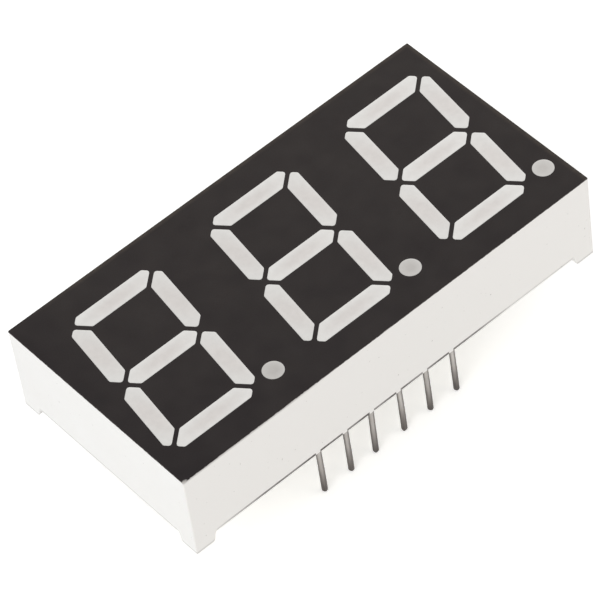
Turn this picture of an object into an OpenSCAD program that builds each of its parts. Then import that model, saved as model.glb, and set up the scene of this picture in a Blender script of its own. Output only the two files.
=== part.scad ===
// Three digit seven segment LED display for a circuit board, with 14.2 mm digits.
// The origin is the centre of the seating plane under the four corner feet. +X runs along
// the row of digits, +Y points to their tops and +Z points out of the face.

/* [Housing] */
// Height from the seating plane to the face
body_h = 8.1; // [6.5:0.1:12]
// Radius of the four upright edges
edge_r = 0.1; // [0.05:0.05:0.5]
// Thickness of the side walls round the back recess
wall_t = 0.9; // [0.7:0.05:1.2]
// Radius of the recess's upright corners
recess_r = 0.3; // [0.25:0.05:0.6]
// Height of the corner feet, which is the gap under the walls
foot_h = 0.9; // [0.6:0.1:1.5]
// Length of a foot along each wall, at its root
foot_l = 1.85; // [1.4:0.05:3]
// How much shorter a foot is at its sole, on each inner end
foot_draft = 0.22; // [0:0.02:0.4]
// Radius of a foot's lower inner corner
foot_r = 0.2; // [0.05:0.05:0.3]
// Radius of the fillet between a foot and the lower edge of the wall
foot_fillet = 0.15; // [0.05:0.05:0.3]

/* [Face] */
// Thickness of the black sheet on the front
mask_t = 0.12; // [0.1:0.02:0.5]
// Depth of the cast windows below the front of the sheet
window_sink = 0.03; // [0.01:0.01:0.08]

/* [Digits] */
// Number of digits in the row
digit_count = 3; // [1:1:3]
// Height of a digit
digit_h = 14.2; // [12:0.1:18]
// Width of a digit before it is slanted
digit_w = 8.24; // [7:0.02:10]
// Space between two digits, at half height
digit_space = 4.46; // [3.6:0.02:6]
// How far the digits lie below the middle of the face
digit_drop = 0.14; // [0:0.02:0.2]
// Slant of the digits in degrees
slant = 8; // [0:1:10]
// Thickness of the level bars
bar_t = 1.48; // [1.1:0.02:1.8]
// Thickness of the upright bars
stem_t = 1.4; // [1.1:0.02:1.7]
// Gap between neighbouring segments, square to their mitres
seg_gap = 0.36; // [0.3:0.02:0.6]
// Leg of the 45 degree cut at the digit's outer corners
corner_cut = 1.15; // [0.7:0.05:1.5]
// Rounding of the segments' corners
seg_r = 0.2; // [0.04:0.02:0.3]
// Diameter of the decimal point
dot_d = 1.6; // [1.3:0.1:1.8]
// Distance from the digit's right side, at half height, to the middle of its decimal point
dot_gap = 0.44; // [0.36:0.02:0.8]
// Height of the decimal point's middle above the foot of the digit
dot_rise = 0.7; // [0.5:0.02:0.8]

/* [Light wells] */
// Length of a light well where it meets the board
well_foot_l = 2.4; // [2:0.1:3.2]
// Width of a light well where it meets the board
well_foot_w = 0.9; // [0.7:0.02:1.06]
// Height of the straight stretch at the foot of each well
well_land = 0.4; // [0.36:0.02:0.8]

/* [Board] */
// Thickness of the circuit board
board_t = 0.8; // [0.6:0.1:1.2]
// Gap between the board's edge and the walls
board_gap = 0.1; // [0.05:0.01:0.2]
// Distance from the copper lands to the board's long edges
land_margin = 0.13; // [0.05:0.01:0.6]
// Distance from the last decimal point's light well to the board's end
well_margin = 0.04; // [0.02:0.01:0.6]
// Thickness of the copper, which lies flush in the board's surface
copper_t = 0.035; // [0.03:0.005:0.07]
// Width of the copper track that joins a digit's lamps
track_w = 0.2; // [0.15:0.01:0.26]
// Side of the pad under each lamp
die_pad = 0.4; // [0.38:0.02:0.5]
// Side of the pad that takes each bond wire
bond_pad = 0.3; // [0.2:0.02:0.34]
// Gap between the two pads of a decimal point
pad_gap = 0.07; // [0.06:0.01:0.12]
// Diameter of the copper land round each pin
land_d = 1.5; // [1.2:0.05:1.8]
// Thickness of the resin under the board
seal_t = 1.05; // [0.8:0.05:1.6]
// Depth of the resin's surface above the rim of the walls
seal_sink = 0.15; // [0.12:0.01:0.3]

/* [Lamps] */
// Side of the square light emitting die
die_w = 0.3; // [0.2:0.02:0.36]
// Height of the die
die_h = 0.2; // [0.12:0.02:0.3]
// Distance from the die to its bond pad in a segment
bond_reach = 0.75; // [0.6:0.05:0.9]
// Diameter of the bond wire
wire_d = 0.04; // [0.03:0.01:0.06]
// Distance from a decimal point's wire to the wall of its light well
wire_margin = 0.08; // [0.05:0.01:0.2]

/* [Pins] */
// Number of pins in each of the two rows
pins_per_row = 6; // [2:1:6]
// Distance from one pin to the next
pin_pitch = 2.54; // [2:0.01:3]
// Distance from the digits' lower edge to the middle of the lower pins
row_gap = 0.38; // [0.3:0.01:1.2]
// Diameter of the round pin
pin_d = 0.45; // [0.38:0.01:0.54]
// Length of the pin below the seating plane
pin_drop = 6.4; // [3:0.1:8]
// Length of the bevel at the pin's tip
tip_l = 0.12; // [0.05:0.01:0.2]
// How far the shank, the stretch that is held in the board, stands out round the pin
shank_step = 0.055; // [0.04:0.005:0.07]
// Length of the shank left showing below the back seal
shank_show = 0.12; // [0.05:0.01:0.14]
// How far the head stands out round the shank
head_lip = 0.17; // [0.14:0.01:0.22]
// Height of the pin's head
head_h = 0.2; // [0.1:0.05:0.25]
// Gap round the head in its pocket
head_gap = 0.12; // [0.1:0.01:0.18]
// Radial gap round the shank in the board, which the solder fills
hole_gap = 0.06; // [0.04:0.01:0.1]
// Height of the solder cone round each pin
solder_h = 0.5; // [0.3:0.05:0.6]
// Width of the solder cone's end round the shank
solder_lip = 0.05; // [0.02:0.01:0.08]
// Width of copper left bare round the solder cone
solder_margin = 0.1; // [0.05:0.01:0.15]

/* [Hidden] */
// Overshoot of cutting shapes, and facets of true circles
cut = 0.05;
$fn = 48;
// Steps in each rounded corner of an outline
corner_steps = 2;
// Steps in the hollow side of a solder cone
cone_steps = 4;

// Skeleton of a digit: the middles of the bars and stems, and half the mitre gap along an axis
half_w = digit_w / 2;
half_h = digit_h / 2;
stem_x = half_w - stem_t / 2;
bar_y = half_h - bar_t / 2;
half_gap = seg_gap / sqrt(2);
mitre = bar_y - stem_x;
corner_sum = half_w + half_h - corner_cut;
digit_pitch = digit_w + digit_space;

// Decimal point, whose well is just wide enough for the lamp, its two pads and its wire
dot_x = half_w + dot_gap;
dot_y = half_h - dot_rise;
dot_reach = (die_pad + bond_pad) / 2 + pad_gap;
dot_foot_d = 2 * (dot_reach + wire_margin);

// Pins
row_spacing = digit_h + 2 * (digit_drop + row_gap);
shank_d = pin_d + 2 * shank_step;
head_d = shank_d + 2 * head_lip;
hole_d = shank_d + 2 * hole_gap;
pocket_d = head_d + 2 * head_gap;
pocket_h = head_h + head_gap;
pin_count = 2 * pins_per_row;

// The board reaches past the last decimal point's well and past the lands, and the walls go round it
board_l = (digit_count - 1) * digit_pitch + 2 * dot_x + dot_foot_d + 2 * well_margin;
board_w = row_spacing + land_d + 2 * land_margin;
recess_l = board_l + 2 * board_gap;
recess_w = board_w + 2 * board_gap;
body_l = recess_l + 2 * wall_t;
body_w = recess_w + 2 * wall_t;

// Levels from the seating plane up
seal_z = foot_h + seal_sink;
shoulder_z = seal_z - shank_show;
board_bottom = seal_z + seal_t;
board_top = board_bottom + board_t;
mask_z = body_h - mask_t;
window_top = body_h - window_sink;

letters = ["a", "b", "c", "d", "e", "f", "g"];

// Right half of the top bar, from its lower edge round the mitre to its upper edge
bar_side = [
    [half_h - bar_t - mitre - half_gap, half_h - bar_t],
    [(corner_sum - mitre - half_gap) / 2, (corner_sum + mitre + half_gap) / 2],
    [corner_sum - half_h, half_h]
];
top_bar = concat(bar_side, [for (i = [2 : -1 : 0]) flip_x(bar_side[i])]);

// Upper right stem, anticlockwise from its lower tip
stem = [
    [stem_x, half_gap],
    [half_w, half_gap + stem_t / 2],
    [half_w, corner_sum - half_w],
    [(corner_sum - mitre + half_gap) / 2, (corner_sum + mitre - half_gap) / 2],
    [half_w - stem_t, half_w - stem_t + mitre - half_gap],
    [half_w - stem_t, half_gap + stem_t / 2]
];

// Middle bar, pointed at both ends
middle_bar = [
    [stem_x - half_gap, 0],
    [stem_x - half_gap - bar_t / 2, bar_t / 2],
    [half_gap + bar_t / 2 - stem_x, bar_t / 2],
    [half_gap - stem_x, 0],
    [half_gap + bar_t / 2 - stem_x, -bar_t / 2],
    [stem_x - half_gap - bar_t / 2, -bar_t / 2]
];

function flip_x(p) = [-p.x, p.y];
function flip_y(p) = [p.x, -p.y];
function reversed(points) = [for (i = [len(points) - 1 : -1 : 0]) points[i]];
function mirrored_x(points) = reversed([for (p = points) flip_x(p)]);
function mirrored_y(points) = reversed([for (p = points) flip_y(p)]);

// Upright outline of each segment, anticlockwise, in the order of the letters
outlines = [
    top_bar,
    stem,
    mirrored_y(stem),
    mirrored_y(top_bar),
    mirrored_x(mirrored_y(stem)),
    mirrored_x(stem),
    middle_bar
];

function unit(v) = v / norm(v);

// Points of the arc that rounds the corner p between its neighbours before and after
function corner_arc(before, p, after, r) =
    let (
        u = unit(before - p),
        v = unit(after - p),
        half = acos(u * v) / 2,
        centre = p + unit(u + v) * r / sin(half),
        start = p + u * r / tan(half) - centre,
        end = p + v * r / tan(half) - centre
    )
    [for (i = [0 : corner_steps]) centre + r * unit(start * (corner_steps - i) + end * i)];

function rounded(points, r) =
    let (n = len(points))
    [for (i = [0 : n - 1]) each corner_arc(points[(i + n - 1) % n], points[i], points[(i + 1) % n], r)];

function leaned(p) = [p.x + p.y * tan(slant), p.y];
function low(points, axis) = min([for (p = points) p[axis]]);
function high(points, axis) = max([for (p = points) p[axis]]);
function middle(points) = [for (axis = [0, 1]) (low(points, axis) + high(points, axis)) / 2];
function spread(points) = [for (axis = [0, 1]) high(points, axis) - low(points, axis)];
function is_level(k) = spread(outlines[k]).x > spread(outlines[k]).y;

// Outline of segment k at the face, and where its well meets the board
function face_outline(k) = [for (p = rounded(outlines[k], seg_r)) leaned(p)];
function foot_outline(k) =
    let (
        foot = is_level(k) ? [well_foot_l, well_foot_w] : [well_foot_w, well_foot_l],
        c = middle(outlines[k]),
        s = spread(outlines[k])
    )
    [for (p = rounded(outlines[k], seg_r)) leaned([
        c.x + (p.x - c.x) * foot.x / s.x,
        c.y + (p.y - c.y) * foot.y / s.y
    ])];

// Lamps of a digit: the seven segments, then the decimal point
lamps = [for (k = [0 : 7]) k];
function lamp_at(k) = k == 7 ? [dot_x, -dot_y] : leaned(middle(outlines[k]));
function reach_of(k) = k == 7 ? dot_reach : bond_reach;

// Direction from a lamp to its bond pad: the long way of a segment's well, down from a point
function bond_way(k) = k == 7 ? [0, -1] : is_level(k) ? [1, 0] : unit([tan(slant), 1]);
function bond_at(k) = lamp_at(k) + reach_of(k) * bond_way(k);

// Pairs of lamps that a track joins, round the figure eight and out to the decimal point
track_pairs = [[0, 1], [1, 6], [6, 5], [5, 0], [6, 4], [4, 3], [3, 2], [2, 6], [2, 7]];

function digit_at(d) = [(d - (digit_count - 1) / 2) * digit_pitch, -digit_drop];

// Pins are numbered along the lower row and back along the upper row
function pin_at(i) =
    i < pins_per_row
        ? [(i - (pins_per_row - 1) / 2) * pin_pitch, -row_spacing / 2]
        : [((pins_per_row - 1) / 2 - (i - pins_per_row)) * pin_pitch, row_spacing / 2];
function pin_name(i) = str("pin_", i < 9 ? "0" : "", i + 1);

module rounded_rect(l, w, r) {
    square([l - 2 * r, w], center = true);
    square([l, w - 2 * r], center = true);
    for (x = [-1, 1])
        for (y = [-1, 1])
            translate([x * (l / 2 - r), y * (w / 2 - r)])
                circle(r);
}

// Solid through outlines of equal length, one above the other at the given heights
module loft(rings, heights) {
    n = len(rings[0]);
    last = len(rings) - 1;
    points = [for (k = [0 : last]) for (p = rings[k]) [p.x, p.y, heights[k]]];
    sides = [
        for (k = [0 : last - 1])
            for (i = [0 : n - 1])
                let (a = k * n + i, b = k * n + (i + 1) % n)
                    each [[a, a + n, b], [b, a + n, b + n]]
    ];
    floor_face = [for (i = [0 : n - 1]) i];
    roof_face = [for (i = [n - 1 : -1 : 0]) last * n + i];
    polyhedron(points, concat(sides, [floor_face, roof_face]));
}

// Space of a segment's light well: straight at the board, flared, then straight at the face
module segment_well(k, bottom, top) {
    foot = foot_outline(k);
    face = face_outline(k);
    loft([foot, foot, face, face], [bottom, board_top + well_land, mask_z, top]);
}

module dot_well(bottom, top) {
    translate([dot_x, -dot_y])
        rotate_extrude()
            polygon([
                [0, bottom],
                [dot_foot_d / 2, bottom],
                [dot_foot_d / 2, board_top + well_land],
                [dot_d / 2, mask_z],
                [dot_d / 2, top],
                [0, top]
            ]);
}

module at_digits() {
    for (d = [0 : digit_count - 1])
        translate(digit_at(d))
            children();
}

module at_pins() {
    for (i = [0 : pin_count - 1])
        translate(pin_at(i))
            children();
}

// Two feet seen from the side, one at each end of a wall of length l
module foot_profile(l) {
    outer = [l / 2, 0];
    sole_end = [l / 2 - foot_l + foot_draft, 0];
    root = [l / 2 - foot_l, foot_h];
    along_wall = root - [foot_fillet, 0];
    foot = concat(
        [[l / 2, foot_h + cut], outer],
        corner_arc(outer, sole_end, root, foot_r),
        corner_arc(sole_end, root, along_wall, foot_fillet),
        [along_wall, along_wall + [0, cut]]
    );
    polygon(foot);
    mirror([1, 0])
        polygon(foot);
}

module corner_feet() {
    intersection() {
        linear_extrude(foot_h + cut)
            rounded_rect(body_l, body_w, edge_r);
        rotate([90, 0, 0])
            linear_extrude(body_w, center = true)
                foot_profile(body_l);
        rotate([90, 0, 90])
            linear_extrude(body_l, center = true)
                foot_profile(body_w);
    }
}

module reflector_housing() {
    color("whitesmoke")
        difference() {
            union() {
                translate([0, 0, foot_h])
                    linear_extrude(mask_z - foot_h)
                        rounded_rect(body_l, body_w, edge_r);
                corner_feet();
            }
            translate([0, 0, -cut])
                linear_extrude(board_top + cut)
                    rounded_rect(recess_l, recess_w, recess_r);
            at_digits() {
                for (k = [0 : 6])
                    segment_well(k, board_top - cut, mask_z + cut);
                dot_well(board_top - cut, mask_z + cut);
            }
            translate([0, 0, board_top - cut])
                at_pins()
                    cylinder(d = pocket_d, h = pocket_h + cut);
        }
}

module face_mask() {
    color([0.21, 0.19, 0.18])
        translate([0, 0, mask_z])
            linear_extrude(mask_t)
                difference() {
                    rounded_rect(body_l, body_w, edge_r);
                    at_digits() {
                        for (k = [0 : 6])
                            polygon(face_outline(k));
                        translate([dot_x, -dot_y])
                            circle(d = dot_d);
                    }
                }
}

// Light emitting die of lamp k, in its digit's frame
module die(k) {
    translate(concat(lamp_at(k), board_top + die_h / 2))
        cube([die_w, die_w, die_h], center = true);
}

// Gold wire of lamp k: up from the die, over in a half ring and down to its pad
module bond_wire(k) {
    r = reach_of(k) / 2;
    way = bond_way(k);
    translate(concat(lamp_at(k) + r * way, board_top + die_h))
        rotate([0, 0, atan2(way.y, way.x)]) {
            rotate([90, 0, 0])
                rotate_extrude(angle = 180)
                    translate([r, 0])
                        circle(d = wire_d, $fn = 6);
            translate([r, 0, -die_h])
                cylinder(d = wire_d, h = die_h, $fn = 6);
        }
}

// Cast window of segment k, with the die and its wire sealed in its foot
module segment_window(k) {
    color([0.85, 0.84, 0.83])
        difference() {
            segment_well(k, board_top, window_top);
            die(k);
            bond_wire(k);
        }
}

module decimal_point() {
    color([0.75, 0.74, 0.72])
        difference() {
            dot_well(board_top, window_top);
            die(7);
            bond_wire(7);
        }
}

module track(p, q) {
    translate(p)
        rotate(atan2(q.y - p.y, q.x - p.x))
            translate([0, -track_w / 2])
                square([norm(q - p), track_w]);
}

// Copper on the front of the board: pads under the lamps, the track between them, bond pads
module copper_pattern() {
    at_digits() {
        for (pair = track_pairs)
            track(lamp_at(pair[0]), lamp_at(pair[1]));
        for (k = lamps) {
            translate(lamp_at(k))
                square(die_pad, center = true);
            translate(bond_at(k))
                square(bond_pad, center = true);
        }
    }
}

module digit_tracks() {
    color("darkgoldenrod")
        translate([0, 0, board_top - copper_t])
            linear_extrude(copper_t)
                copper_pattern();
}

module pin_lands() {
    color("darkgoldenrod")
        translate([0, 0, board_bottom])
            linear_extrude(copper_t)
                at_pins()
                    difference() {
                        circle(d = land_d);
                        circle(d = hole_d);
                    }
}

module board_blank(bottom, top) {
    translate([0, 0, bottom])
        linear_extrude(top - bottom)
            rounded_rect(board_l, board_w, recess_r - board_gap);
}

module circuit_board() {
    color("seagreen")
        difference() {
            board_blank(board_bottom, board_top);
            translate([0, 0, board_bottom - cut])
                at_pins()
                    cylinder(d = hole_d, h = board_t + 2 * cut);
            translate([0, 0, board_bottom - cut])
                at_pins()
                    cylinder(d = land_d, h = copper_t + cut);
            translate([0, 0, board_top - copper_t])
                linear_extrude(copper_t + cut)
                    copper_pattern();
        }
}

module pin() {
    color("silver")
        rotate_extrude()
            polygon([
                [0, -pin_drop],
                [pin_d / 2 - tip_l / 2, -pin_drop],
                [pin_d / 2, tip_l - pin_drop],
                [pin_d / 2, shoulder_z],
                [shank_d / 2, shoulder_z],
                [shank_d / 2, board_top],
                [head_d / 2, board_top],
                [head_d / 2, board_top + head_h],
                [0, board_top + head_h]
            ]);
}

// Solder that fills the hole round one pin and stands as a hollow cone on its land
module solder_joint() {
    inner = shank_d / 2;
    lip = inner + solder_lip;
    foot = land_d / 2 - solder_margin;
    hollow_side = [
        for (i = [0 : cone_steps])
            let (a = 90 * i / cone_steps)
                [foot - (foot - lip) * sin(a), board_bottom - solder_h * (1 - cos(a))]
    ];
    rotate_extrude()
        polygon(concat(
            [[inner, board_top], [hole_d / 2, board_top], [hole_d / 2, board_bottom]],
            hollow_side,
            [[inner, board_bottom - solder_h]]
        ));
}

module solder_joints() {
    color("lightgray")
        at_pins()
            solder_joint();
}

module led_dice() {
    color("gold")
        for (k = lamps)
            die(k);
}

module bond_wires() {
    color("goldenrod")
        for (k = lamps)
            bond_wire(k);
}

// Resin poured over the back of the board and round its edge, with the pins through it
module back_seal() {
    color("ivory")
        difference() {
            translate([0, 0, seal_z])
                linear_extrude(board_top - seal_z)
                    rounded_rect(recess_l, recess_w, recess_r);
            board_blank(board_bottom, board_top + cut);
            at_pins() {
                translate([0, 0, seal_z - cut])
                    cylinder(d = shank_d, h = board_bottom - seal_z + 2 * cut);
                solder_joint();
            }
        }
}

reflector_housing();
face_mask();
for (d = [0 : digit_count - 1])
    translate(digit_at(d)) {
        for (k = [0 : 6])
            segment_window(k);
        decimal_point();
        led_dice();
        bond_wires();
    }
circuit_board();
digit_tracks();
pin_lands();
for (i = [0 : pin_count - 1])
    translate(pin_at(i)) pin();
solder_joints();
back_seal();
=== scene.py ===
import bmesh
import bpy
import math
import random
from mathutils import Matrix, Vector, noise


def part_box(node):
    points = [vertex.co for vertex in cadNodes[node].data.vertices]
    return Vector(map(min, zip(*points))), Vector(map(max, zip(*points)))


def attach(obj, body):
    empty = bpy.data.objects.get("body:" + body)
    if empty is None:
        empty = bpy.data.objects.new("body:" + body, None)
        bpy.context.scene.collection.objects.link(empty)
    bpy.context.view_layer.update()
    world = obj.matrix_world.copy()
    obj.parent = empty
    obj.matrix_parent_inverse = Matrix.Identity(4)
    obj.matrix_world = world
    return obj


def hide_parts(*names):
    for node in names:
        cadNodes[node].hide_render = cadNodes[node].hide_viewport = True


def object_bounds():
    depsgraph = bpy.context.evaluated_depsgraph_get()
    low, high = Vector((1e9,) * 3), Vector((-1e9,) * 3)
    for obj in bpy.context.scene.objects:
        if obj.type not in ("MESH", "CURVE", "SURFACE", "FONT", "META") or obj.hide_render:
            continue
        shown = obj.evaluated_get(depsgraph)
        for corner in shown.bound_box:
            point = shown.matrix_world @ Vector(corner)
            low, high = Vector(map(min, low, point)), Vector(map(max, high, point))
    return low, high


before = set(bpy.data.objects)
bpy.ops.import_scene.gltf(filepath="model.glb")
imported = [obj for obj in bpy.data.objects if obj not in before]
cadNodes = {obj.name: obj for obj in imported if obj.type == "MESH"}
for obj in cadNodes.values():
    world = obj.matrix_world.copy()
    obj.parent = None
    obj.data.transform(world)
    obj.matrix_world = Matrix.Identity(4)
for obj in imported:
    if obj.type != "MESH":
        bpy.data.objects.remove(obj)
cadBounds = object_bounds()
mm = 0.001

# levels that several pieces share, taken from the nodes' boxes
housingLow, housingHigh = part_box("reflector_housing")
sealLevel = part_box("back_seal")[0].z
boardBottom, boardTop = (corner.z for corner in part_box("circuit_board"))
sealDepth = 0.15 * mm                       # the seal ends this far above the walls' lower edge
wallFoot = sealLevel - sealDepth            # the level of that edge, between the feet


# node trees

def linkedNode(tree, kind, inputs=None, **settings):
    node = tree.nodes.new(kind)
    for name, value in settings.items():
        setattr(node, name, value)
    for key, value in (inputs or {}).items():
        socket = node.inputs[key]
        if isinstance(value, bpy.types.NodeSocket):
            tree.links.new(value, socket)
        else:
            socket.default_value = value
    return node


def newFinish(name, **sockets):
    # sockets holds what is the same all over the surface, set on the shader itself
    finish = bpy.data.materials.new(name)
    finish.use_nodes = True
    tree = finish.node_tree
    shader = tree.nodes["Principled BSDF"]
    for key, value in sockets.items():
        shader.inputs[key].default_value = value
    return finish, tree, shader


def placeOf(tree):
    return linkedNode(tree, "ShaderNodeTexCoord").outputs["Object"]


def alongAxis(tree, place, axis):
    return linkedNode(tree, "ShaderNodeSeparateXYZ", {"Vector": place}).outputs[axis]


def cloud(tree, place, grain, detail=4.0, rough=0.55, stretch=(1, 1, 1)):
    # smooth noise whose blotches are about grain metres wide
    scaled = linkedNode(tree, "ShaderNodeMapping", {"Vector": place, "Scale": stretch})
    pattern = linkedNode(tree, "ShaderNodeTexNoise", {
        "Vector": scaled.outputs["Vector"], "Scale": 1 / grain, "Detail": detail, "Roughness": rough})
    return pattern.outputs["Fac"]


def ramp(tree, value, low, high, fromLow=0.3, fromHigh=0.7):
    # low where the value is under fromLow, high where it is over fromHigh, and even between them
    spread = linkedNode(tree, "ShaderNodeMapRange", {
        "Value": value, "From Min": fromLow, "From Max": fromHigh, "To Min": low, "To Max": high})
    return spread.outputs["Result"]


def worked(tree, operation, first, second, clamp=True):
    node = linkedNode(tree, "ShaderNodeMath", {0: first, 1: second}, operation=operation, use_clamp=clamp)
    return node.outputs[0]


def product(tree, share, *others):
    for other in others:
        share = worked(tree, "MULTIPLY", share, other)
    return share


def vectorWorked(tree, operation, first, second):
    return linkedNode(tree, "ShaderNodeVectorMath", {0: first, 1: second}, operation=operation).outputs[0]


def lengthOf(tree, way):
    return linkedNode(tree, "ShaderNodeVectorMath", {0: way}, operation="LENGTH").outputs["Value"]


def scaledBy(tree, colour, share):
    scaled = linkedNode(tree, "ShaderNodeVectorMath", {0: colour, "Scale": share}, operation="SCALE")
    return scaled.outputs[0]


def palerAlong(tree, place, colour, gain, start, end):
    # the colour grows paler by the gain along the object's length, as if more light had reached it there
    return scaledBy(tree, colour, ramp(tree, alongAxis(tree, place, "X"), 1, gain, start, end))


def blendColour(tree, share, first, second):
    mix = linkedNode(tree, "ShaderNodeMix", data_type="RGBA")
    inputs = [socket for socket in mix.inputs if socket.enabled]     # factor, A and B of the colour mix
    tree.links.new(share, inputs[0])
    for socket, value in zip(inputs[1:], (first, second)):
        if isinstance(value, bpy.types.NodeSocket):
            tree.links.new(value, socket)
        else:
            socket.default_value = (*value, 1)
    return next(socket for socket in mix.outputs if socket.enabled)


def paint(tree, shader, colour):
    tree.links.new(colour, shader.inputs["Base Color"])


def roughen(tree, shader, pattern, rough):
    tree.links.new(ramp(tree, pattern, *rough), shader.inputs["Roughness"])


def relief(tree, shader, height, depth):
    bump = linkedNode(tree, "ShaderNodeBump", {"Height": height, "Distance": depth})
    tree.links.new(bump.outputs["Normal"], shader.inputs["Normal"])


def dress(finish, *names):
    for name in names:
        slots = cadNodes[name].data.materials
        slots.clear()
        slots.append(finish)


def nodesNamed(*starts):
    return sorted(name for name in cadNodes if name.startswith(starts))


# shapes

meshing = {
    "weldGap": 0.0005 * mm,
    "flatAngle": math.radians(1),           # facets that turn less than this are joined
    "easedAngle": math.radians(35),         # edges that turn more than this can be eased
    "smoothAngle": math.radians(50),        # faces that turn less than this shade into each other
    "topSlack": 0.001 * mm,                 # corners this near a top surface belong to it
    "faceUp": 0.99,                         # a face is a top where its normal rises more than this
}


def cadShape(node):
    # a working copy of the node's solid, with its flat facets joined
    shape = bmesh.new()
    shape.from_mesh(cadNodes[node].data)
    bmesh.ops.remove_doubles(shape, verts=shape.verts, dist=meshing["weldGap"])
    bmesh.ops.dissolve_limit(shape, angle_limit=meshing["flatAngle"], verts=shape.verts, edges=shape.edges)
    return shape


def sharpEdges(shape, isWanted):
    return [edge for edge in shape.edges if edge.calc_face_angle() > meshing["easedAngle"]
            and all(isWanted(corner.co) for corner in edge.verts)]


def roundOver(shape, edges, radius, steps):
    bmesh.ops.bevel(shape, geom=edges, offset=radius, offset_type="OFFSET", segments=steps, profile=0.5,
                    affect="EDGES", clamp_overlap=True)


def madePiece(name, shape, finish, node):
    # the shape becomes an object that rides on the body and stands for its CAD node
    mesh = bpy.data.meshes.new(name)
    shape.to_mesh(mesh)
    shape.free()
    mesh.materials.append(finish)
    mesh.shade_smooth()
    mesh.set_sharp_from_angle(angle=meshing["smoothAngle"])
    piece = bpy.data.objects.new(name, mesh)
    bpy.context.scene.collection.objects.link(piece)
    evened = piece.modifiers.new("evened", "WEIGHTED_NORMAL")
    evened.keep_sharp = True
    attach(piece, "root")
    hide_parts(node)


# white moulding

whiteMoulding = {
    "shader": {"IOR": 1.5, "Specular IOR Level": 0.45},
    "colour": (0.893, 0.891, 0.878),
    "warmer": (0.88, 0.873, 0.855),
    "grain": 3 * mm,
    "shadedLongWall": (0.859, 0.841, 0.818),      # painted shade: the long walls get a darker, warmer copy of the white
    "wallLightGain": 1.025,                      # and painted light makes them this much paler towards the right
    "sideFade": (0.1 * mm, 0.05 * mm),      # how far in a wall's look sets in, and is full
    "footLength": 1.9 * mm,
    "specks": (0.38, 0.355, 0.33),
    "speckGrain": 0.3 * mm,
    "speckCover": 0.7,
    "speckFrom": (0.73, 0.8),               # noise at which a speck starts, and is full
    # painted shadow under the walls' lower edge; the ink smeared on the near wall takes this dark colour
    # too
    "shadowAndInk": (0.06, 0.05, 0.045),
    "shadowLine": (0.205 * mm, 0.255 * mm),  # how far up the dark line starts to fade, and ends
    "lineStart": (-17.5 * mm, -12.5 * mm),  # along the near wall the line sets in slowly
    "lineEnd": (7.5 * mm, 11.5 * mm),       # and dies out here
    "lineLeast": 0.75,                      # how strong it still is where it is weakest
    "lineUneven": (0.35, 0.6),              # noise at which it is weakest, and full
    "faintShadow": 0.2,                      # how much of it the soles and the other walls have
    "pinSight": -1.295 * mm,                # middle of the near row of pins, as seen under the wall
    "pinStep": 2.51 * mm,
    "pinBreak": 0.25 * mm,                  # half the break in the line at each pin
    "breakClear": 0.7,                      # share of the break that is quite clear
    "pinRowEnd": (7 * mm, 8 * mm),          # from here on the line isn't broken
    "smear": 0.42,                          # share of the face's ink on the top of the near wall
    "smearDrop": 0.18 * mm,                 # how far down it fades out
    "smearEnd": (-9 * mm, -5 * mm),         # and where along the wall
    "rough": (0.36, 0.5),
    "pitGrain": 0.12 * mm,
    "pitDepth": 0.006 * mm,
    "easedUpTo": 0.01 * mm,                 # edges that lie no higher over the walls' foot are eased
    "edgeRadius": 0.03 * mm,
    "edgeSteps": 3,
}


def outAlong(tree, place, axis):
    return worked(tree, "ABSOLUTE", alongAxis(tree, place, axis), 0, False)


def footSide(tree, place, axis, side):
    # 1 where a spot lies as far out along the axis as the feet
    look = whiteMoulding
    inner = side - look["footLength"]
    return ramp(tree, outAlong(tree, place, axis), 0, 1, inner - look["sideFade"][0], inner)


def onWall(tree, place, axis, side):
    # 1 on the outer face of the walls that stand square to the axis
    start, full = whiteMoulding["sideFade"]
    return ramp(tree, outAlong(tree, place, axis), 0, 1, side - start, side - full)


def besidePins(tree, place):
    # 0 where a pin is seen under the wall, because the painted shadow line is broken there
    look = whiteMoulding
    halfStep = look["pinStep"] / 2
    fromMiddle = worked(tree, "SUBTRACT", alongAxis(tree, place, "X"), look["pinSight"], False)
    shifted = worked(tree, "SUBTRACT", fromMiddle, halfStep, False)
    away = worked(tree, "PINGPONG", shifted, halfStep, False)
    offPin = ramp(tree, away, 0, 1, look["pinBreak"] * look["breakClear"], look["pinBreak"])
    pastRow = ramp(tree, worked(tree, "ABSOLUTE", fromMiddle, 0, False), 0, 1, *look["pinRowEnd"])
    return worked(tree, "MAXIMUM", offPin, pastRow)


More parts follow.
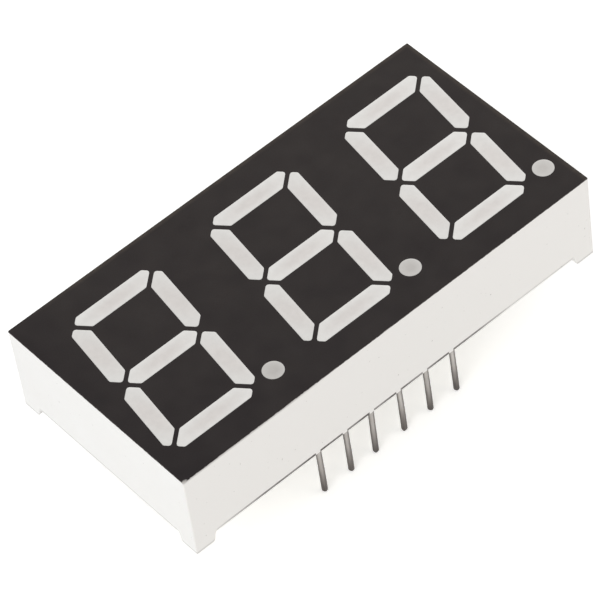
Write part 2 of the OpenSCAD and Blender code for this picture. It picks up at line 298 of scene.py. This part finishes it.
def whiteMouldingFinish():
    look = whiteMoulding
    finish, tree, shader = newFinish("whiteMoulding", **look["shader"])
    place = placeOf(tree)
    length, width, height = (alongAxis(tree, place, axis) for axis in "XYZ")
    onLongWall = onWall(tree, place, "Y", housingHigh.y)
    outside = worked(tree, "MAXIMUM", onLongWall, onWall(tree, place, "X", housingHigh.x))
    start, full = look["sideFade"]
    onNearWall = ramp(tree, width, 1, 0, housingLow.y + full, housingLow.y + start)
    patches = ramp(tree, cloud(tree, place, look["grain"]), 0, 1)
    # painted shade on the long walls, made paler towards the right by painted light
    clean = blendColour(tree, onLongWall, blendColour(tree, patches, look["colour"], look["warmer"]),
                        palerAlong(tree, place, look["shadedLongWall"], look["wallLightGain"], 0, housingHigh.x))
    specks = ramp(tree, cloud(tree, place, look["speckGrain"], detail=2),
                  0, look["speckCover"], *look["speckFrom"])
    specked = blendColour(tree, specks, clean, look["specks"])
    # a painted shadow: a thin uneven dark line along the walls' lower edge, but not on the feet
    fade, end = look["shadowLine"]
    atFoot = ramp(tree, height, 1, 0, wallFoot + fade, wallFoot + end)
    onFoot = product(tree, footSide(tree, place, "X", housingHigh.x),
                     footSide(tree, place, "Y", housingHigh.y))
    offFoot = worked(tree, "SUBTRACT", 1, onFoot)
    nearLine = product(tree, onNearWall, ramp(tree, length, 0, 1, *look["lineStart"]),
                       ramp(tree, length, 1, 0, *look["lineEnd"]))
    strength = worked(tree, "MAXIMUM", nearLine, product(tree, outside, look["faintShadow"]))
    uneven = ramp(tree, cloud(tree, place, look["grain"], stretch=(1, 1, 0)),
                  look["lineLeast"], 1, *look["lineUneven"])
    shadowAndSmear = product(tree, atFoot, offFoot, strength, uneven, besidePins(tree, place))
    # a faint painted shadow line runs round the soles and the other walls, and ink has smeared the top of
    # the near wall's left end
    sole = ramp(tree, height, look["faintShadow"], 0, fade, end)
    smear = ramp(tree, height, 0, look["smear"], housingHigh.z - look["smearDrop"], housingHigh.z)
    smeared = product(tree, smear, onNearWall, ramp(tree, length, 1, 0, *look["smearEnd"]))
    for share in (product(tree, sole, outside), smeared):
        shadowAndSmear = worked(tree, "MAXIMUM", shadowAndSmear, share)
    # the painted shadow lines and the ink smear are laid on in one dark colour
    paint(tree, shader, blendColour(tree, shadowAndSmear, specked, look["shadowAndInk"]))
    roughen(tree, shader, cloud(tree, place, look["grain"] / 6), look["rough"])
    relief(tree, shader, cloud(tree, place, look["pitGrain"], detail=2), look["pitDepth"])
    return finish


def mouldedHousing():
    # every edge round the feet and under the walls is eased, as a moulding's are
    look = whiteMoulding
    shape = cadShape("reflector_housing")
    under = sharpEdges(shape, lambda corner: corner.z < wallFoot + look["easedUpTo"])
    roundOver(shape, under, look["edgeRadius"], look["edgeSteps"])
    madePiece("mouldedHousing", shape, whiteMouldingFinish(), "reflector_housing")


mouldedHousing()
print("housing moulded")


# black face

blackFace = {
    "shader": {"IOR": 1.45, "Specular IOR Level": 0.3},
    "colour": (0.0165, 0.0122, 0.013),
    "paler": (0.038, 0.0317, 0.0295),
    # painted light: the paler ink gets more share to the right and the top, and less at the left end
    "litAndMottledShare": 0.54,                          # share of the paler ink at the middle
    "paintedLightAlong": 0.14,                      # how much more there is at the right end
    "paintedLightAcross": 0.12,                     # and at the top
    "paintedShadeLeft": 0.2,                         # how much less there is at the left end
    "leftStretch": 3.8 * mm,
    "grain": 2.2 * mm,
    "mottle": 0.15,
    "mottleFrom": (0.38, 0.62),
    "fineMottle": 0.1,
    "worn": (0.0575, 0.0465, 0.039),
    "wornBand": (0.44 * mm, 0.18 * mm),     # how far in from the far rims it starts to thin, and is thin
    "wornLeast": 0.5,                       # how worn it still is where the band is weakest
    "wornPatches": (0.38, 0.55),            # noise at which it is weakest, and full
    "wornFrom": (-8 * mm, -2.5 * mm),       # towards the left corner the wear dies out
    "wornLeft": 0.1,                        # down to this
    "bare": (0.5, 0.48, 0.46),
    "ragged": 0.7,
    "bareHeight": 0.045 * mm,               # the ink ends at an uneven line on the sheet's side
    "bareFade": (0.8, 1.2),
    "chipReach": (0.4 * mm, 0.15 * mm),     # ink knocked off the near corner, along its long and short side
    "chipRagged": 0.4,
    "chipFade": (0.45, 1.2),
    "rough": (0.55, 0.72),
    "tooth": 0.09 * mm,
    "toothDepth": 0.008 * mm,
    "rimWidth": 0.3 * mm,
    "rimRadius": 0.08 * mm,
    "rimSteps": 4,
    "openingRadius": 0.025 * mm,
    "openingSteps": 2,
}


def blackFaceFinish():
    look = blackFace
    finish, tree, shader = newFinish("blackFace", **look["shader"])
    place = placeOf(tree)
    length, width, height = (alongAxis(tree, place, axis) for axis in "XYZ")
    low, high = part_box("face_mask")
    # painted light: the ink is made a little paler to the right and to the top and darker at the left end;
    # it is also mottled
    blotches = cloud(tree, place, look["grain"], detail=6, rough=0.65)
    tooth = cloud(tree, place, look["tooth"], detail=3)
    litAndMottledShare = look["litAndMottledShare"]
    for share in (ramp(tree, length, -look["paintedLightAlong"], look["paintedLightAlong"], low.x, high.x),
                  ramp(tree, width, -look["paintedLightAcross"], look["paintedLightAcross"], low.y, high.y),
                  ramp(tree, length, -look["paintedShadeLeft"], 0, low.x, low.x + look["leftStretch"]),
                  ramp(tree, blotches, -look["mottle"], look["mottle"], *look["mottleFrom"]),
                  ramp(tree, tooth, -look["fineMottle"], look["fineMottle"])):
        litAndMottledShare = worked(tree, "ADD", litAndMottledShare, share, False)
    plain = blendColour(tree, litAndMottledShare, look["colour"], look["paler"])
    # it is worn thin in a band along the far long rim and the right one
    thinning, thin = look["wornBand"]
    toSide = [ramp(tree, along, 0, 1, side - thinning, side - thin)
              for along, side in ((length, high.x), (width, high.y))]
    patchy = ramp(tree, cloud(tree, place, look["grain"] / 3, detail=3),
                  look["wornLeast"], 1, *look["wornPatches"])
    diagonal = worked(tree, "ADD", length, width, False)
    fromLeft = ramp(tree, diagonal, look["wornLeft"], 1, *look["wornFrom"])
    worn = product(tree, worked(tree, "MAXIMUM", *toSide), patchy, fromLeft)
    inked = blendColour(tree, worn, plain, look["worn"])
    # bare moulding shows under the uneven edge of the ink and at the chipped corner
    ragged = ramp(tree, cloud(tree, place, look["grain"] / 8, detail=3), -look["ragged"], look["ragged"])
    overEdge = worked(tree, "SUBTRACT", height, low.z, False)
    upSide = worked(tree, "DIVIDE", overEdge, look["bareHeight"], False)
    edge = ramp(tree, worked(tree, "ADD", upSide, ragged, False), 1, 0, *look["bareFade"])
    fromCorner = vectorWorked(tree, "SUBTRACT", place, (low.x, low.y, high.z))
    squeeze = [1 / reach for reach in look["chipReach"]] + [0]
    away = lengthOf(tree, vectorWorked(tree, "MULTIPLY", fromCorner, squeeze))
    jagged = worked(tree, "ADD", away, worked(tree, "MULTIPLY", ragged, look["chipRagged"], False), False)
    chip = ramp(tree, jagged, 1, 0, *look["chipFade"])
    paint(tree, shader, blendColour(tree, worked(tree, "MAXIMUM", edge, chip), inked, look["bare"]))
    roughen(tree, shader, cloud(tree, place, look["grain"] / 4), look["rough"])
    relief(tree, shader, tooth, look["toothDepth"])
    return finish


def roundedFace():
    # the sheet's outer rim is well rounded, the rims of its openings only just
    look = blackFace
    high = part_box("face_mask")[1]
    inner = high - Vector((look["rimWidth"], look["rimWidth"], meshing["topSlack"]))
    shape = cadShape("face_mask")
    openings = sharpEdges(shape, lambda corner: corner.z > inner.z and abs(corner.x) < inner.x
                          and abs(corner.y) < inner.y)
    roundOver(shape, openings, look["openingRadius"], look["openingSteps"])
    rim = sharpEdges(shape, lambda corner: corner.z > inner.z
                     and (abs(corner.x) > inner.x or abs(corner.y) > inner.y))
    roundOver(shape, rim, look["rimRadius"], look["rimSteps"])
    madePiece("roundedFace", shape, blackFaceFinish(), "face_mask")


roundedFace()
print("face rounded")


# cast resin windows

castWindow = {
    "shader": {"IOR": 1.5, "Specular IOR Level": 0.4},
    "levelEnds": (0.823, 0.8125, 0.792),    # the three level segments of a digit are a little paler
    "levelMiddle": (0.748, 0.716, 0.694),
    "uprightEnds": (0.79, 0.78, 0.76),
    "uprightMiddle": (0.743, 0.711, 0.689),
    "pointEnds": (0.62, 0.605, 0.585),
    "pointMiddle": (0.54, 0.52, 0.5),
    "endsFrom": (0.15, 0.5),                # how far out the ends' colour sets in, and is full
    "paleStretch": (-6 * mm, 17 * mm),      # painted light: along this stretch the resin grows paler, by these gains
    "segmentGain": 1.06,
    "pointGain": 1.12,
    "grain": 0.5 * mm,
    "mottle": 0.03,
    "rough": (0.4, 0.55),
    "tooth": 0.05 * mm,
    "toothDepth": 0.003 * mm,
    # the resin climbs the opening's wall: steps inward, and the height above the level at the end of each
    "climb": 0.022 * mm,
    "meniscus": ((0.03 * mm, 0.01 * mm), (0.05 * mm, 0.003 * mm), (0.07 * mm, 0)),
    "levelSpread": 0.004 * mm,
}


def castWindowFinish(kind, gain):
    # paler towards the ends, where the light well's flared white walls lie close under the resin
    look = castWindow
    finish, tree, shader = newFinish(kind + "Resin", **look["shader"])
    place = placeOf(tree)
    inside = linkedNode(tree, "ShaderNodeTexCoord").outputs["Generated"]
    offset = vectorWorked(tree, "SUBTRACT", inside, (0.5, 0.5, 0))
    reach = lengthOf(tree, vectorWorked(tree, "MULTIPLY", offset, (1, 1, 0)))
    toEnds = ramp(tree, reach, 0, 1, *look["endsFrom"])
    resin = blendColour(tree, toEnds, look[kind + "Middle"], look[kind + "Ends"])
    # painted light: paler towards the right
    resin = palerAlong(tree, place, resin, gain, *look["paleStretch"])
    patches = cloud(tree, place, look["grain"])
    mottle = ramp(tree, patches, 1 - look["mottle"], 1 + look["mottle"])
    paint(tree, shader, scaledBy(tree, resin, mottle))
    roughen(tree, shader, patches, look["rough"])
    relief(tree, shader, cloud(tree, place, look["tooth"], detail=3), look["toothDepth"])
    return finish


def pouredWindow(node, finish):
    # the pour keeps its own level, a hair above or below its neighbours
    look = castWindow
    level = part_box(node)[1].z
    own = level + random.Random(node).uniform(-1, 1) * look["levelSpread"]
    shape = cadShape(node)
    upward = [face for face in shape.faces if face.normal.z > meshing["faceUp"]]
    surface = max(upward, key=lambda face: face.calc_center_median().z)
    for corner in surface.verts:
        corner.co.z = level + look["climb"]
    for width, rise in look["meniscus"]:
        bmesh.ops.inset_region(shape, faces=[surface], thickness=width, use_even_offset=True)
        for corner in surface.verts:
            corner.co.z = own + rise
    madePiece("poured_" + node, shape, finish, node)


for kind, letters in (("level", "adg"), ("upright", "bcef")):
    segmentFinish = castWindowFinish(kind, castWindow["segmentGain"])
    for node in nodesNamed("segment_"):
        if node[-1] in letters:
            pouredWindow(node, segmentFinish)
pointFinish = castWindowFinish("point", castWindow["pointGain"])
for node in nodesNamed("decimal_point_"):
    pouredWindow(node, pointFinish)
print("windows poured")


# tinned pins

tinnedPin = {
    "shader": {"Metallic": 0.9},
    "bright": (0.56, 0.54, 0.515),
    # painted shade: the leg is darker towards the tip and darkest at it, where the wire mirrors the dark
    # room
    "shadedTipward": (0.27, 0.245, 0.235),      # towards the tip
    "patchiness": 0.2,
    "tipShade": (0.105, 0.094, 0.088),         # at the tip
    "tipShadeReach": (0.5 * mm, 3 * mm),
    "rim": (0.09, 0.078, 0.072),            # at the outline, where a round wire mirrors the dark room
    "rimCover": 0.9,
    "rimFrom": (0.4, 0.64),                 # share turned away where the rim sets in, and is full
    "grain": 0.3 * mm,
    "streaks": (1, 1, 0.08),
    "streakDepth": 0.004 * mm,
    "rough": (0.3, 0.5),
    "legRadius": 0.222 * mm,
    "shankRadius": 0.28 * mm,
    "shankEdge": 0.02 * mm,
    "shankShow": 0.12 * mm,                 # length of the shank below the seal
    "headRadius": 0.45 * mm,
    "headEdge": 0.03 * mm,
    "dipLine": -3.7 * mm,                   # the leg is dipped in solder up to here
    "dipDepth": 0.01 * mm,
    "dipFade": 0.08 * mm,
    "lumps": 0.006 * mm,
    "lumpGrain": 0.35 * mm,
    "tipLength": 0.26 * mm,
    "tipRadius": 0.08 * mm,
    "tipCurve": 0.8,
    "tipRows": 4,
    "tipSlip": 0.06 * mm,                   # how far the blunt point of a snipped wire lies off its axis
    "rowStep": 0.12 * mm,
    "turns": 24,
    # how far each tip leans along the row, bent in handling
    "leans": (0.12 * mm, 0.12 * mm, -0.07 * mm, 0.15 * mm, 0.15 * mm, 0.15 * mm,
              -0.08 * mm, 0.05 * mm, 0.1 * mm, -0.04 * mm, 0.07 * mm, -0.06 * mm),
}


def tinnedPinFinish():
    look = tinnedPin
    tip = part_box("pin_01")[0].z
    finish, tree, shader = newFinish("tinnedPin", **look["shader"])
    place = placeOf(tree)
    height = alongAxis(tree, place, "Z")
    patchy = ramp(tree, cloud(tree, place, look["grain"], stretch=look["streaks"]),
                  -look["patchiness"], look["patchiness"])
    # painted shade towards the tip, with random patches
    shadeAndPatches = worked(tree, "ADD", ramp(tree, height, 1, 0, tip, 0), patchy)
    leg = blendColour(tree, shadeAndPatches, look["bright"], look["shadedTipward"])
    near, far = look["tipShadeReach"]
    # painted shade, deepest at the tip
    fromTip = ramp(tree, height, 1, 0, tip + near, tip + far)
    tipShadeShare = worked(tree, "ADD", fromTip, worked(tree, "MULTIPLY", fromTip, patchy, False))
    tipped = blendColour(tree, tipShadeShare, leg, look["tipShade"])
    facing = linkedNode(tree, "ShaderNodeLayerWeight", {"Blend": 0.5}).outputs["Facing"]
    rim = ramp(tree, facing, 0, look["rimCover"], *look["rimFrom"])
    paint(tree, shader, blendColour(tree, rim, tipped, look["rim"]))
    streaks = cloud(tree, place, look["grain"] / 2, stretch=look["streaks"])
    roughen(tree, shader, streaks, look["rough"])
    relief(tree, shader, streaks, look["streakDepth"])
    return finish


def legRadius(height, spot, tip):
    # dipped below the dip line, lumpy all the way down, and snipped to a blunt point
    look = tinnedPin
    dipped = min(max((look["dipLine"] - height) / look["dipFade"], 0), 1)
    lump = noise.noise(spot / look["lumpGrain"]) * look["lumps"]
    radius = look["legRadius"] + dipped * look["dipDepth"] + lump
    cut = min((height - tip) / look["tipLength"], 1)
    return min(radius, look["tipRadius"] + (radius - look["tipRadius"]) * cut ** look["tipCurve"])


def dippedPin(node, lean, finish):
    look = tinnedPin
    low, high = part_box(node)
    axis = (low + high) / 2
    tip = low.z
    tipTop = tip + look["tipLength"]
    shoulder = sealLevel - look["shankShow"]
    slip = random.Random(node).uniform(-1, 1) * look["tipSlip"]
    # head and shank have a plain radius, and the leg's rows take theirs from legRadius
    head, shank = look["headRadius"], look["shankRadius"]
    rows = [(head - look["headEdge"], high.z), (head, high.z - look["headEdge"]), (head, boardTop),
            (shank, boardTop), (shank, shoulder + look["shankEdge"]), (shank - look["shankEdge"], shoulder)]
    steps = round((shoulder - tipTop) / look["rowStep"])
    rows += [(None, shoulder - (shoulder - tipTop) * i / steps) for i in range(steps + 1)]
    rows += [(None, tip + look["tipLength"] * (1 - i / look["tipRows"]))
             for i in range(1, look["tipRows"] + 1)]
    shape = bmesh.new()
    rings = []
    for radius, height in rows:
        bent = max(shoulder - height, 0) / (shoulder - tip)
        snipped = max(1 - (height - tip) / look["tipLength"], 0)
        sideways = lean * (1 - (1 - bent) ** 2) + slip * snipped
        ring = []
        for turn in range(look["turns"]):
            angle = 2 * math.pi * turn / look["turns"]
            way = Vector((math.cos(angle), math.sin(angle), 0))
            spot = Vector((axis.x, axis.y, height)) + way * look["legRadius"]
            reach = radius or legRadius(height, spot, tip)
            ring.append(shape.verts.new(Vector((axis.x + sideways, axis.y, height)) + way * reach))
        rings.append(ring)
    for above, below in zip(rings, rings[1:]):
        for turn in range(look["turns"]):
            after = (turn + 1) % look["turns"]
            shape.faces.new((above[turn], below[turn], below[after], above[after]))
    shape.faces.new(rings[0])
    shape.faces.new(reversed(rings[-1]))
    madePiece("dipped_" + node, shape, finish, node)


pinNodes = nodesNamed("pin_0", "pin_1")
pinFinish = tinnedPinFinish()
for node, lean in zip(pinNodes, tinnedPin["leans"]):
    dippedPin(node, lean, pinFinish)
print("pins dipped")


# board, copper, lamps, wires, solder and seal

boardParts = {
    "solderMask": {"first": (0.02, 0.16, 0.07), "second": (0.03, 0.21, 0.1), "grain": 0.8 * mm,
                   "rough": (0.3, 0.42), "depth": 0.004 * mm, "metal": 0.0},
    "bareCopper": {"first": (0.72, 0.4, 0.24), "second": (0.58, 0.3, 0.18), "grain": 0.3 * mm,
                   "rough": (0.28, 0.42), "depth": 0.002 * mm, "metal": 1.0},
    "litDie": {"first": (0.5, 0.22, 0.08), "second": (0.62, 0.32, 0.12), "grain": 0.08 * mm,
               "rough": (0.25, 0.35), "depth": 0.001 * mm, "metal": 0.0},
    "goldWire": {"first": (0.95, 0.7, 0.28), "second": (0.9, 0.62, 0.22), "grain": 0.05 * mm,
                 "rough": (0.18, 0.28), "depth": 0.0005 * mm, "metal": 1.0},
    "wettedSolder": {"first": (0.68, 0.68, 0.67), "second": (0.55, 0.55, 0.55), "grain": 0.2 * mm,
                     "rough": (0.2, 0.36), "depth": 0.01 * mm, "metal": 1.0},
    "pouredSeal": {"first": (0.66, 0.63, 0.54), "second": (0.6, 0.565, 0.47), "grain": 2.2 * mm,
                   "rough": (0.12, 0.24), "depth": 0.03 * mm, "metal": 0.0},
}


def boardFinish(name):
    look = boardParts[name]
    finish, tree, shader = newFinish(name, Metallic=look["metal"])
    place = placeOf(tree)
    patches = cloud(tree, place, look["grain"])
    paint(tree, shader, blendColour(tree, ramp(tree, patches, 0, 1), look["first"], look["second"]))
    roughen(tree, shader, cloud(tree, place, look["grain"] / 3), look["rough"])
    relief(tree, shader, patches, look["depth"])
    return finish


dress(boardFinish("solderMask"), "circuit_board")
dress(boardFinish("bareCopper"), "digit_tracks", "pin_lands")
dress(boardFinish("litDie"), *nodesNamed("led_dice_"))
dress(boardFinish("goldWire"), *nodesNamed("bond_wires_"))
dress(boardFinish("wettedSolder"), "solder_joints")
print("board finished")


# back seal

backPour = {
    "gridStep": 0.2 * mm,
    "cornerRadius": 0.3 * mm,
    "climb": 0.09 * mm,                     # how far the resin creeps down the walls and the pins
    "wallReach": 0.3 * mm,
    "pinReach": 0.22 * mm,
    "ripple": 0.012 * mm,
    "rippleGrain": 5 * mm,
    "bubbles": 14,
    "bubbleSeed": 3,
    "bubbleField": (0.95, 0.9),             # share of the length and of the width that they keep to
    "bubbleSizes": (0.5, 1),
    "bubbleRadius": 0.28 * mm,
    "bubbleHeight": 0.03 * mm,
}


def pouredLevel(x, y, edge, pinPlaces, bubblePlaces, level):
    look = backPour
    creep = look["climb"] * math.exp(-edge / look["wallReach"])
    for place in pinPlaces:
        away = max(math.hypot(x - place.x, y - place.y) - tinnedPin["shankRadius"], 0)
        creep = max(creep, look["climb"] * math.exp(-away / look["pinReach"]))
    bulge = 0
    for bx, by, size in bubblePlaces:
        near = 1 - math.hypot(x - bx, y - by) / (size * look["bubbleRadius"])
        bulge = max(bulge, look["bubbleHeight"] * size * math.sqrt(max(near, 0)))
    wave = noise.noise(Vector((x, y, 0)) / look["rippleGrain"]) * look["ripple"]
    return level - creep - bulge + wave * (1 - creep / look["climb"])


def pouredBack():
    look = backPour
    low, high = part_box("back_seal")
    cornerRadius = look["cornerRadius"]
    pinPlaces = [(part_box(node)[0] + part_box(node)[1]) / 2 for node in pinNodes]
    chance = random.Random(look["bubbleSeed"])
    along, across = look["bubbleField"]
    bubblePlaces = [(chance.uniform(low.x, high.x) * along, chance.uniform(low.y, high.y) * across,
                     chance.uniform(*look["bubbleSizes"])) for _ in range(look["bubbles"])]
    columns = round((high.x - low.x) / look["gridStep"])
    rows = round((high.y - low.y) / look["gridStep"])
    shape = bmesh.new()
    under = []
    for i in range(columns + 1):
        for j in range(rows + 1):
            x = low.x + (high.x - low.x) * i / columns
            y = low.y + (high.y - low.y) * j / rows
            # inside the corner square the grid is drawn in to the recess's round corner
            dx = abs(x) - (high.x - cornerRadius)
            dy = abs(y) - (high.y - cornerRadius)
            edge = min(high.x - abs(x), high.y - abs(y))
            if dx > 0 and dy > 0:
                out = math.hypot(dx, dy)
                edge = cornerRadius - out
                if edge < 0:
                    x -= math.copysign(dx * (1 - cornerRadius / out), x)
                    y -= math.copysign(dy * (1 - cornerRadius / out), y)
            height = pouredLevel(x, y, max(edge, 0), pinPlaces, bubblePlaces, low.z)
            under.append(shape.verts.new((x, y, height)))
    for i in range(columns):
        for j in range(rows):
            first = i * (rows + 1) + j
            last = first + rows + 1
            shape.faces.new((under[first], under[first + 1], under[last + 1], under[last]))
    # the brim goes up to the board's underside, where one flat face closes the pour
    brim = [edge for edge in shape.edges if edge.is_boundary]
    raised = bmesh.ops.extrude_edge_only(shape, edges=brim)["geom"]
    for point in [part for part in raised if isinstance(part, bmesh.types.BMVert)]:
        point.co.z = boardBottom
    top = [edge for edge in shape.edges if edge.is_boundary]
    bmesh.ops.triangle_fill(shape, use_beauty=True, use_dissolve=True, edges=top)
    bmesh.ops.recalc_face_normals(shape, faces=shape.faces)
    madePiece("pouredBack", shape, boardFinish("pouredSeal"), "back_seal")


pouredBack()
print("back poured")


# studio

studio = {
    "floorShader": {"Base Color": (0.93, 0.93, 0.925, 1), "Roughness": 0.9, "Specular IOR Level": 0.1},
    "floorSize": 6,
    "floorGap": 0.02 * mm,                  # between the pins' tips and the floor
    "floorLift": 0.4,                       # light that only the camera and mirrors see on the floor
    "worldLevel": 0.68,
    "keyPlace": (-0.84, -0.4, 0.6),
    "keySize": 0.7,
    "keyPower": 4.0,
    "fillPlace": (0.3, -0.4, 0.42),
    "fillSize": 0.4,
    "fillPower": 0.3,
    "fillColour": (1, 0.9, 0.74),
    "cameraPlace": (-108.174 * mm, -157.812 * mm, 228.927 * mm),
    "lookingAt": (-2.699 * mm, -3.119 * mm, 8 * mm),
    "roll": math.radians(-9.113),
    "lens": 250.862,                        # in mm, as the sensor's width is
    "sensorWidth": 36,
    "clipStart": 0.01,
}


def shootingFloor():
    bpy.ops.mesh.primitive_plane_add(size=studio["floorSize"],
                                     location=(0, 0, cadBounds[0][2] - studio["floorGap"]))
    floor = bpy.context.object
    floor.name = "shootingFloor"
    finish, tree, shader = newFinish("paleFloor", **studio["floorShader"])
    path = linkedNode(tree, "ShaderNodeLightPath").outputs
    seen = worked(tree, "MAXIMUM", path["Is Camera Ray"], path["Is Glossy Ray"], False)
    strength = worked(tree, "MULTIPLY", seen, studio["floorLift"], False)
    lift = linkedNode(tree, "ShaderNodeEmission", {"Strength": strength})
    both = linkedNode(tree, "ShaderNodeAddShader", {0: shader.outputs[0], 1: lift.outputs[0]})
    tree.links.new(both.outputs[0], tree.nodes["Material Output"].inputs["Surface"])
    floor.data.materials.append(finish)


def softLamp(name, place, size, power, colour=(1, 1, 1)):
    data = bpy.data.lights.new(name, "AREA")
    data.shape = "DISK"
    data.size = size
    data.energy = power
    data.color = colour
    lamp = bpy.data.objects.new(name, data)
    lamp.location = place
    lamp.rotation_euler = (-Vector(place)).to_track_quat("-Z", "Y").to_euler()
    bpy.context.scene.collection.objects.link(lamp)


def whiteWorld():
    # white where the camera sees it, and a lower light on the object
    world = bpy.data.worlds.new("whiteWorld")
    bpy.context.scene.world = world
    world.use_nodes = True
    tree = world.node_tree
    path = linkedNode(tree, "ShaderNodeLightPath")
    back = tree.nodes["Background"]
    back.inputs["Color"].default_value = (1, 1, 1, 1)
    tree.links.new(ramp(tree, path.outputs["Is Camera Ray"], studio["worldLevel"], 1.0, 0, 1),
                   back.inputs["Strength"])


def photoCamera():
    data = bpy.data.cameras.new("photoCamera")
    data.lens = studio["lens"]
    data.sensor_width = studio["sensorWidth"]
    data.clip_start = studio["clipStart"]
    camera = bpy.data.objects.new("photoCamera", data)
    place = Vector(studio["cameraPlace"])
    aim = (Vector(studio["lookingAt"]) - place).to_track_quat("-Z", "Y").to_matrix().to_4x4()
    camera.matrix_world = Matrix.Translation(place) @ aim @ Matrix.Rotation(studio["roll"], 4, "Z")
    bpy.context.scene.collection.objects.link(camera)
    bpy.context.scene.camera = camera


shootingFloor()
softLamp("keyLamp", studio["keyPlace"], studio["keySize"], studio["keyPower"])
softLamp("fillLamp", studio["fillPlace"], studio["fillSize"], studio["fillPower"], studio["fillColour"])
whiteWorld()
photoCamera()
bpy.context.scene.view_settings.view_transform = "Standard"
print("studio ready")
